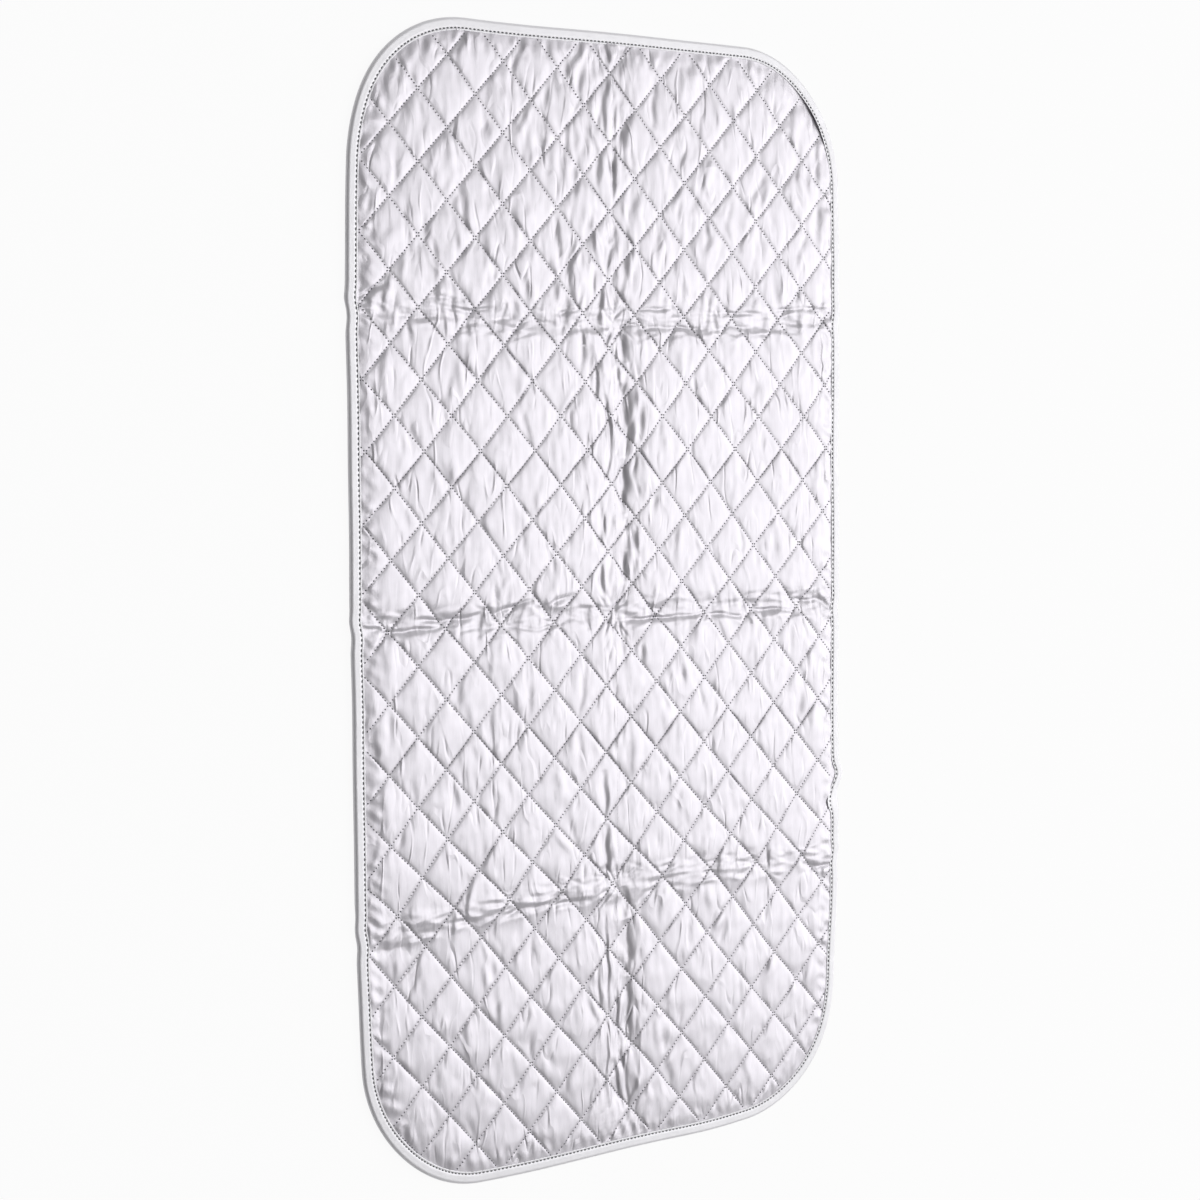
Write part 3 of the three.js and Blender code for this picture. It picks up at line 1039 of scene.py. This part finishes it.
def sew_down(sheet, slack, sewn, held, cloth):
    """Simulate the face: its seams are drawn in to their places, and the cloth between them wrinkles."""
    set_points(sheet, slack * cloth.scale)
    sheet.shape_key_add(name="Slack")
    drawn = sheet.shape_key_add(name="Sewn")
    drawn.data.foreach_set("co", (sewn * cloth.scale).ravel())
    drawn.value = 0
    drawn.keyframe_insert("value", frame=1)
    drawn.value = 1
    drawn.keyframe_insert("value", frame=1 + cloth.draw_frames)
    group = sheet.vertex_groups.new(name="held")
    group.add(np.flatnonzero(held).tolist(), 1.0, "REPLACE")
    group.add(np.flatnonzero(~held).tolist(), cloth.wadding_hold, "REPLACE")
    modifier = sheet.modifiers.new("Cloth", "CLOTH")
    settings = modifier.settings
    settings.quality = CLOTH_QUALITY
    settings.mass = CLOTH_MASS
    settings.tension_stiffness = cloth.stretch
    settings.compression_stiffness = cloth.stretch
    settings.shear_stiffness = cloth.shear
    settings.bending_stiffness = cloth.bending
    settings.tension_damping = CLOTH_DAMPING
    settings.compression_damping = CLOTH_DAMPING
    settings.shear_damping = CLOTH_DAMPING
    settings.bending_damping = CLOTH_DAMPING / 10
    settings.air_damping = 1
    settings.vertex_group_mass = "held"
    settings.use_pressure = True
    settings.uniform_pressure_force = cloth.puff
    settings.effector_weights.gravity = 0
    modifier.collision_settings.use_collision = False
    modifier.collision_settings.use_self_collision = False
    modifier.point_cache.frame_start = 1
    modifier.point_cache.frame_end = cloth.frames
    for step in range(1, cloth.frames + 1):
        bpy.context.scene.frame_set(step)
    make_active(sheet)
    bpy.ops.object.convert(target="MESH")
    set_points(sheet, points_of(sheet) / cloth.scale)
    bpy.context.scene.frame_set(1)


def settle(sizes, points):
    """Keep the face above its seams and under the top that the folded pad has room for."""
    knee, top = FACE_TOP - SOFT_TOP, FACE_TOP + CLEARANCE
    over = np.maximum(points[:, 2] - knee, 0)
    settled = points.copy()
    settled[:, 2] = np.minimum(points[:, 2], knee) + (top - knee) * np.tanh(over / (top - knee))
    low = seam_height(sizes, points[:, 0], points[:, 1]) - CLEARANCE
    settled[:, 2] = np.maximum(settled[:, 2], low)
    return settled


def fold_creases(sheet, sizes, quilt):
    """Divide the face more finely along its creases, and press their sharp small folds into it."""
    points = points_of(sheet)
    x, y = points[:, 0], points[:, 1]
    creased = (centre_band(x, y) > 0.08) | (crease_bands(quilt, x, y) > 0.15)
    divide(sheet, creased, cuts=1, smoothness=1)
    points = points_of(sheet)
    x, y = points[:, 0], points[:, 1]
    inside = edge_depth(sizes, x, y) > sizes.binding_width
    points[:, 2] = np.maximum(points[:, 2] - crumple(quilt, x, y) * inside, BACKING_TOP + LEAST_WADDING)
    set_points(sheet, points)


def face_wall(sizes, way):
    """How the face's border runs down: wrapped round the backing's edge at the lengthwise crease."""
    bottom = BACKING_TOP + CLEARANCE

    def wall(point):
        x, y, z = point
        if abs(abs(x) - sizes.fold_gap) > 1e-6:
            return [(x, y, z + (bottom - z) * share) for share in np.linspace(0, 1, 7)[1:]]
        down = [(x, y, z + (CLEARANCE - z) * share) for share in np.linspace(0, 1, 5)[1:]]
        inner_x = way * (sizes.fold_gap + sizes.fold_lip)
        return [*down, (inner_x, y, CLEARANCE), (inner_x, y, bottom)]

    return wall


class IRONINGPAD_OT_quilted_face(bpy.types.Operator):
    """Sew the silver face over its wadding and part it at the creases"""
    bl_idname = "ironing_pad.quilted_face"
    bl_label = "Quilted face"

    def execute(self, context):
        sizes, quilt = context.scene.pad_sizes, context.scene.pad_quilt
        sheet = quilted_sheet(sizes, quilt, quilt.cells)
        plan = points_of(sheet)[:, :2]
        place = lattice_place(quilt, plan)
        on_seam = np.abs(place - np.round(place)).min(axis=1) < 0.2 / quilt.cells
        held = on_seam | (edge_depth(sizes, plan[:, 0], plan[:, 1]) < sizes.binding_width)
        sewn = sewn_shape(sizes, quilt, plan, held)
        sew_down(sheet, slack_shape(quilt, sewn), sewn, held, context.scene.pad_cloth)
        set_points(sheet, settle(sizes, points_of(sheet)))
        fold_creases(sheet, sizes, quilt)
        material = silver_cloth(context.scene.pad_colours)
        for side, way in SIDES.items():
            half = half_of(sheet, side, sizes.fold_gap)
            points = points_of(half)
            for third, faces in zip(THIRDS, thirds_of(half, quilt)):
                piece = closed_layer(f"face_{side}_{third}", points, faces, BACKING_TOP + CLEARANCE,
                                     face_wall(sizes, way))
                finish_piece(piece, material)
                hang_on_panels(piece, sizes, side, third, ("face", "wadding"))
            bpy.data.objects.remove(half)
        bpy.data.objects.remove(sheet)
        return {"FINISHED"}


def divide_bends(sheet, sizes):
    """Divide the backing more finely at its folds."""
    y = points_of(sheet)[:, 1]
    bends = np.zeros(len(y), dtype=bool)
    for fold in CREASE_DRIFT:
        bends |= np.abs(y - FOLD_AT[fold]) < sizes.middle_bend_reach + 0.002
    divide(sheet, bends, cuts=2)


class IRONINGPAD_OT_backing(bpy.types.Operator):
    """Lay the quilted cotton backing under the pad"""
    bl_idname = "ironing_pad.backing"
    bl_label = "Backing"

    def execute(self, context):
        sizes, quilt = context.scene.pad_sizes, context.scene.pad_quilt
        sheet = quilted_sheet(sizes, quilt, quilt.backing_cells)
        divide_bends(sheet, sizes)
        points = points_of(sheet)
        plan = points[:, :2]
        rng = np.random.default_rng(11)
        ripples = plane_waves(plan[:, 0], plan[:, 1], rng, 14, (0.010, 0.020), 0.0, math.radians(25))
        seam = backing_seam_height(sizes, quilt, plan[:, 0], plan[:, 1])
        sunk = diamond_rise(quilt, plan) * quilt.backing_relief * (0.85 + 0.12 * ripples)
        from_hem = edge_depth(sizes, plan[:, 0], plan[:, 1]) - sizes.binding_width
        inside = np.clip(from_hem / sizes.edge_roll, 0, 1) * (1 - fold_flatness(plan[:, 1]))
        points[:, 2] = np.maximum(seam - sunk * inside, CLEARANCE / 2)
        set_points(sheet, points)
        material = woven_cotton(context.scene.pad_colours)
        top = BACKING_TOP - CLEARANCE
        for side in SIDES:
            half = half_of(sheet, side, sizes.fold_gap + sizes.fold_lip + CLEARANCE)
            points = points_of(half)
            for third, faces in zip(THIRDS, thirds_of(half, quilt)):
                under = [face[::-1] for face in faces]
                piece = closed_layer(f"backing_{side}_{third}", points, under, top,
                                     lambda point: [(point[0], point[1], top)])
                finish_piece(piece, material)
                hang_on_panels(piece, sizes, side, third, ("backing",))
            bpy.data.objects.remove(half)
        bpy.data.objects.remove(sheet)
        return {"FINISHED"}


# Binding

def half_edge(sizes, distance):
    """Points and inward directions along the left half of the edge, from the top middle to the bottom."""
    radius = sizes.corner_radius
    straight = PAD_WIDTH / 2 - radius
    side = PAD_LENGTH - 2 * radius
    corner = radius * math.pi / 2
    top_run = np.clip(distance, 0, straight)
    first_turn = np.clip((distance - straight) / radius, 0, math.pi / 2)
    side_run = np.clip(distance - straight - corner, 0, side)
    second_turn = np.clip((distance - straight - corner - side) / radius, 0, math.pi / 2)
    bottom_run = np.clip(distance - straight - 2 * corner - side, 0, straight)
    x = -top_run - radius * np.sin(first_turn) + radius * (1 - np.cos(second_turn)) + bottom_run
    y = PAD_LENGTH / 2 - radius * (1 - np.cos(first_turn)) - side_run - radius * np.sin(second_turn)
    turn = first_turn + second_turn
    return np.column_stack([x, y]), np.column_stack([np.sin(turn), -np.cos(turn)])


def edge_distances(sizes):
    """Where the thirds of a half begin and end along its edge."""
    to_side = PAD_WIDTH / 2 - sizes.corner_radius + sizes.corner_radius * math.pi / 2
    cuts = [to_side + PAD_LENGTH / 2 - sizes.corner_radius - y for y in THIRD_CUTS]
    whole = 2 * to_side + PAD_LENGTH - 2 * sizes.corner_radius
    return [0.0, *cuts, whole]


def edge_wander(x, y):
    """How far the tape strays outwards: small kinks where the creases end, and a pinch on the right."""
    kinks = 0.0
    for fold in CREASE_DRIFT:
        above = from_crease(fold, x, y)
        kinks = kinks + 0.0008 * hill(above - 0.006, width=0.006)
        kinks = kinks - 0.0010 * hill(above + 0.007, width=0.007)
    pinch = 0.0045 * hill(y - PINCH_AT, width=0.008) - 0.0020 * hill(y - PINCH_END_AT, width=0.007)
    slow = 0.0003 * np.sin(y / 0.031 + 1.0) + 0.0002 * np.sin(y / 0.017 + x / 0.05)
    return kinks * (np.abs(x) > PAD_WIDTH / 4) + pinch * (x > PAD_WIDTH / 4) + slow


def tape_widths(sizes):
    """The tape's radius at the edge, the width of one flat side, and the width of the whole tape."""
    radius = sizes.binding_height / 2
    flange = sizes.binding_width - radius
    return radius, flange, 2 * flange + math.pi * radius


def tape_section(sizes, across):
    """The tape's section from its lower to its upper hem: inset, height and the way to the nearer hem."""
    radius, flange, whole = tape_widths(sizes)
    run = across * whole
    turn = np.clip((run - flange) / radius, 0, math.pi)
    inset = radius - radius * np.sin(turn)
    inset = inset + np.maximum(flange - run, 0) + np.maximum(run - flange - math.pi * radius, 0)
    height = radius - radius * np.cos(turn)
    to_hem = np.minimum(run, whole - run)
    return inset, height, to_hem


def tape_place(sizes, stitch, distance, across, way):
    """Points of the tape at a distance along the edge and a share of the way across the tape."""
    plan, inward = half_edge(sizes, distance)
    plan[:, 0] *= -way
    inward[:, 0] *= -way
    inset, height, to_hem = tape_section(sizes, across)
    upper = np.where(height > sizes.binding_height / 2, 1.0, -1.0)
    on_flange = np.clip(inset / sizes.binding_width, 0, 1)
    x, y = plan.T
    plan = plan - inward * (edge_stray(x, y) + edge_wander(x, y))[:, None]
    pucker = np.sin(distance / 0.0011 + 2 * np.sin(distance / 0.017)) * np.sin(distance / 0.0047 + way)
    drop = HEM_TURN * np.exp(-to_hem / HEM_TURN)
    drop = drop + STITCH_DITCH * hill(inset - stitch.binding_inset, STITCH_DITCH_WIDTH)
    drop = drop + TAPE_PUCKER * pucker * on_flange ** 2
    drop = drop + TAPE_SAG * (1 - on_flange) * on_flange
    pulled = hill(y - PULLED_AT, width=0.007) * (x > PAD_WIDTH / 4)
    gaping = hill(np.hypot(x - GAPING_AT[0], y - GAPING_AT[1]), width=0.022)
    lift = (0.0011 * gaping + 0.0014 * pulled) * on_flange ** 3 * (upper > 0)
    inset = inset + 0.0050 * pulled * on_flange ** 2 * (upper > 0)
    height = np.maximum(height - upper * drop + lift, 0.0)
    height = height + FOLD_LIFT * fold_flatness(y) * np.clip(1 - height / sizes.binding_height, 0, 1)
    return np.column_stack([plan + inward * inset[:, None], height])


class IRONINGPAD_OT_binding(bpy.types.Operator):
    """Fold the satin tape round the pad's edge"""
    bl_idname = "ironing_pad.binding"
    bl_label = "Binding"

    def execute(self, context):
        sizes, stitch = context.scene.pad_sizes, context.scene.pad_stitches
        material = satin_tape(context.scene.pad_colours)
        ends = edge_distances(sizes)
        for side, way in SIDES.items():
            for third, start, end in zip(THIRDS, ends, ends[1:]):
                deselect_all()
                steps = round((end - start) / TAPE_STEP)
                bpy.ops.mesh.primitive_grid_add(x_subdivisions=steps, y_subdivisions=TAPE_CELLS, size=2)
                piece = bpy.context.object
                piece.name = piece.data.name = f"binding_{side}_{third}"
                share = (points_of(piece)[:, :2] + 1) / 2
                distance = start + share[:, 0] * (end - start)
                set_points(piece, tape_place(sizes, stitch, distance, share[:, 1], way))
                self.measure_tape(piece, end - start)
                if way > 0:
                    piece.data.flip_normals()
                solidify = piece.modifiers.new("Tape", "SOLIDIFY")
                solidify.thickness = sizes.tape_thickness
                solidify.offset = -1
                bpy.ops.object.modifier_apply(modifier=solidify.name)
                finish_piece(piece, material)
                hang_on_panels(piece, sizes, side, third, ("binding",))
        return {"FINISHED"}

    @staticmethod
    def measure_tape(piece, length):
        """Stretch the tape's own map to metres, so that the weave has its real size."""
        layer = piece.data.uv_layers.active
        flat = np.zeros(len(layer.data) * 2)
        layer.data.foreach_get("uv", flat)
        flat = flat.reshape(-1, 2) * (length, TAPE_MAP_WIDTH)
        layer.data.foreach_set("uv", flat.ravel())


# Stitches

def stitch_shape():
    """One short piece of thread with pointed ends, along Z, one unit in radius and half length."""
    deselect_all()
    bpy.ops.mesh.primitive_uv_sphere_add(segments=5, ring_count=4, radius=1)
    thread = bpy.context.object
    points, faces = points_of(thread), faces_of(thread)
    layer = thread.data.uv_layers.active
    flat = np.zeros(len(layer.data) * 2)
    layer.data.foreach_get("uv", flat)
    bpy.data.objects.remove(thread)
    return points, faces, flat


def sew_stitches(name, starts, ends, up, radius, shape):
    """Copies of one stitch between pairs of points, bowed away from the cloth, as one piece."""
    points, faces, flat = shape
    along = (ends - starts) / 2
    middle = (starts + ends) / 2
    rise = np.tile([0.0, 0.0, up], (len(starts), 1))
    across = np.cross(rise, along)
    across *= radius / np.linalg.norm(across, axis=1, keepdims=True)
    bow = points[:, 1] * radius - 1.2 * radius * points[:, 2] ** 2
    every = (middle[:, None, :] + points[None, :, 0, None] * across[:, None, :]
             + bow[None, :, None] * rise[:, None, :] + points[None, :, 2, None] * along[:, None, :])
    count = len(points)
    copies = [tuple(corner + count * k for corner in face) for k in range(len(starts)) for face in faces]
    piece = new_piece(name, every.reshape(-1, 3), copies)
    layer = piece.data.uv_layers.new(name="UVMap")
    layer.data.foreach_set("uv", np.tile(flat, len(starts)))
    return piece


def seam_stitches(sizes, quilt, stitch, shift):
    """Start and end of every quilting stitch in the plan, along both directions of the seams."""
    side = np.linalg.norm(lattice(quilt)[1][:, 0])
    reach = math.ceil(PAD_LENGTH / quilt.diamond_length) + 1
    lines = np.arange(-reach, reach + 1)
    steps = np.arange(-reach * stitch.per_side, reach * stitch.per_side)
    middles = (steps + 0.5 + shift) / stitch.per_side
    rng = np.random.default_rng(5)
    found = []
    for axis in (0, 1):
        line, middle = (grid.ravel() for grid in np.meshgrid(lines, middles))
        half = stitch.length / side / 2 * rng.uniform(0.92, 1.06, len(line))
        stray = rng.normal(0, 0.0025, len(line))
        pair = []
        for end in (-half, half):
            place = np.zeros((len(line), 2))
            place[:, axis] = middle + end
            place[:, 1 - axis] = line + stray
            pair.append(plan_place(quilt, place))
        found.append(np.stack(pair, axis=1))
    found = np.concatenate(found)
    middle = found.mean(axis=1)
    inside = edge_depth(sizes, middle[:, 0], middle[:, 1]) > sizes.binding_width + HEM_STITCH_GAP
    clear = np.abs(found[:, :, 0]).min(axis=1) > sizes.fold_gap + FOLD_STITCH_GAP
    clear &= found[:, 0, 0] * found[:, 1, 0] > 0
    return found[inside & clear]


class IRONINGPAD_OT_quilting_stitches(bpy.types.Operator):
    """Sew the diamond seams, stitch by stitch, on the face and on the underside"""
    bl_idname = "ironing_pad.quilting_stitches"
    bl_label = "Quilting stitches"

    def execute(self, context):
        scene = context.scene
        sizes, quilt, stitch = scene.pad_sizes, scene.pad_quilt, scene.pad_stitches
        material = sewing_thread("quilting_thread", scene.pad_colours.thread)
        shape = stitch_shape()

        def face_level(x, y):
            return sewn_height(sizes, quilt, x, y) + FACE_STITCH_PROUD * stitch.radius

        def backing_level(x, y):
            proud = BACKING_STITCH_PROUD - fold_flatness(y)
            return backing_seam_height(sizes, quilt, x, y) - proud * stitch.radius

        for layer, shift, up, level in (("face", 0.0, 1, face_level), ("backing", 0.5, -1, backing_level)):
            pairs = seam_stitches(sizes, quilt, stitch, shift)
            heights = level(pairs[:, :, 0], pairs[:, :, 1])
            pairs = np.concatenate([pairs, heights[:, :, None]], axis=2)
            sew_pairs(pairs, f"{layer}_stitches", up, sizes, stitch.radius, shape, material)
        return {"FINISHED"}


def sew_pairs(pairs, name, up, sizes, radius, shape, material):
    """Sew stitches given by their ends, parted into the thirds of each half."""
    third = third_of(pairs[:, :, 1].mean(axis=1))
    for side, way in SIDES.items():
        for number, part in enumerate(THIRDS):
            chosen = pairs[(third == number) & (pairs[:, 0, 0] * way > 0)]
            piece = sew_stitches(f"{name}_{side}_{part}", chosen[:, 0], chosen[:, 1], up, radius, shape)
            finish_piece(piece, material)
            hang_on_panels(piece, sizes, side, part)


class IRONINGPAD_OT_binding_stitches(bpy.types.Operator):
    """Sew the binding down along its hems"""
    bl_idname = "ironing_pad.binding_stitches"
    bl_label = "Binding stitches"

    def execute(self, context):
        scene = context.scene
        sizes, stitch = scene.pad_sizes, scene.pad_stitches
        material = sewing_thread("hem_thread", scene.pad_colours.hem_thread)
        shape = stitch_shape()
        ends = edge_distances(sizes)
        hem_share = (sizes.binding_width - stitch.binding_inset) / tape_widths(sizes)[-1]
        count = int(ends[-1] / stitch.binding_pitch)
        middles = (np.arange(count) + 0.5) * ends[-1] / count
        hems = (("upper_hem_stitches", 1 - hem_share, 1, UPPER_HEM_PROUD),
                ("lower_hem_stitches", hem_share, -1, LOWER_HEM_PROUD))
        for name, across, up, proud in hems:
            pairs = []
            for way in SIDES.values():
                pair = [tape_place(sizes, stitch, middles + end, np.full(count, across), way)
                        for end in (-stitch.binding_length / 2, stitch.binding_length / 2)]
                pairs.append(np.stack(pair, axis=1))
            pairs = np.concatenate(pairs)
            pairs[:, :, 2] += up * proud * stitch.binding_radius
            sew_pairs(pairs, name, up, sizes, stitch.binding_radius, shape, material)
        return {"FINISHED"}


# Stage

class IRONINGPAD_OT_stage(bpy.types.Operator):
    """Set up the camera, the soft light and the floor"""
    bl_idname = "ironing_pad.stage"
    bl_label = "Stage"

    def execute(self, context):
        scene = context.scene
        stage = scene.pad_stage
        deselect_all()
        bpy.ops.object.camera_add(location=stage.camera_place, rotation=stage.camera_turn)
        camera = context.object
        camera.data.lens = stage.lens
        camera.data.clip_end = CAMERA_REACH
        scene.camera = camera
        self.add_key_light(stage)
        self.add_world(scene, stage)
        bpy.ops.mesh.primitive_plane_add(size=FLOOR_WIDTH, location=(0, 0, -stage.floor_drop))
        floor = context.object
        floor.name = "floor"
        floor.data.materials.append(plain_floor(scene.pad_colours, stage.floor_white))
        scene.view_settings.view_transform = "Standard"
        return {"FINISHED"}

    @staticmethod
    def add_key_light(stage):
        bpy.ops.object.light_add(type="AREA", location=stage.key_place)
        light = bpy.context.object
        light.data.shape = "RECTANGLE"
        light.data.size = stage.key_width
        light.data.size_y = stage.key_height
        light.data.energy = stage.key_power
        light.rotation_euler = (-light.location).to_track_quat("-Z", "Y").to_euler()
        light.rotation_euler.rotate_axis("Z", stage.key_roll)

    @staticmethod
    def add_world(scene, stage):
        """A room that is bright on one side and dim on the other, and white behind the floor."""
        scene.world = bpy.data.worlds.new("studio")
        scene.world.use_nodes = True
        tree = scene.world.node_tree
        place = add_node(tree, "ShaderNodeTexCoord")
        toward = add_node(tree, "ShaderNodeVectorMath", operation="DOT_PRODUCT")
        tree.links.new(place.outputs["Generated"], toward.inputs[0])
        toward.inputs[1].default_value = Vector(stage.bright_side).normalized()
        strength = spread(tree, toward.outputs["Value"], stage.dim_light, stage.bright_light, lowest=-1.0)
        seen = add_node(tree, "ShaderNodeLightPath").outputs["Is Camera Ray"]
        strength = combine(tree, "MAXIMUM", strength, seen)
        tree.links.new(strength, tree.nodes["Background"].inputs["Strength"])
        tree.nodes["Background"].inputs["Color"].default_value = (1, 1, 1, 1)


class IRONINGPAD_PT_panel(bpy.types.Panel):
    """The pad's pieces and sizes"""
    bl_idname = "IRONINGPAD_PT_panel"
    bl_label = "Ironing pad"
    bl_space_type = "VIEW_3D"
    bl_region_type = "UI"
    bl_category = "Ironing pad"

    def draw(self, context):
        for operator in OPERATORS:
            self.layout.operator(operator.bl_idname)
        for name in SETTINGS:
            group = getattr(context.scene, name)
            box = self.layout.box()
            for prop in group.bl_rna.properties:
                if prop.identifier not in ("rna_type", "name"):
                    box.prop(group, prop.identifier)


SETTINGS = {
    "pad_sizes": PadSizes,
    "pad_quilt": QuiltSizes,
    "pad_stitches": StitchSizes,
    "pad_cloth": ClothSettings,
    "pad_colours": PadColours,
    "pad_stage": StageSettings,
}

OPERATORS = (
    IRONINGPAD_OT_stage,
    IRONINGPAD_OT_quilted_face,
    IRONINGPAD_OT_backing,
    IRONINGPAD_OT_binding,
    IRONINGPAD_OT_quilting_stitches,
    IRONINGPAD_OT_binding_stitches,
)


def register():
    for made in (*SETTINGS.values(), *OPERATORS, IRONINGPAD_PT_panel):
        bpy.utils.register_class(made)
    for name, group in SETTINGS.items():
        setattr(bpy.types.Scene, name, PointerProperty(type=group))


def unregister():
    for name in SETTINGS:
        delattr(bpy.types.Scene, name)
    for made in (IRONINGPAD_PT_panel, *reversed(OPERATORS), *reversed(SETTINGS.values())):
        bpy.utils.unregister_class(made)


def main():
    register()
    bpy.ops.ironing_pad.stage()
    bpy.ops.ironing_pad.quilted_face()
    bpy.ops.ironing_pad.backing()
    bpy.ops.ironing_pad.binding()
    bpy.ops.ironing_pad.quilting_stitches()
    bpy.ops.ironing_pad.binding_stitches()


if __name__ == "__main__":
    main()
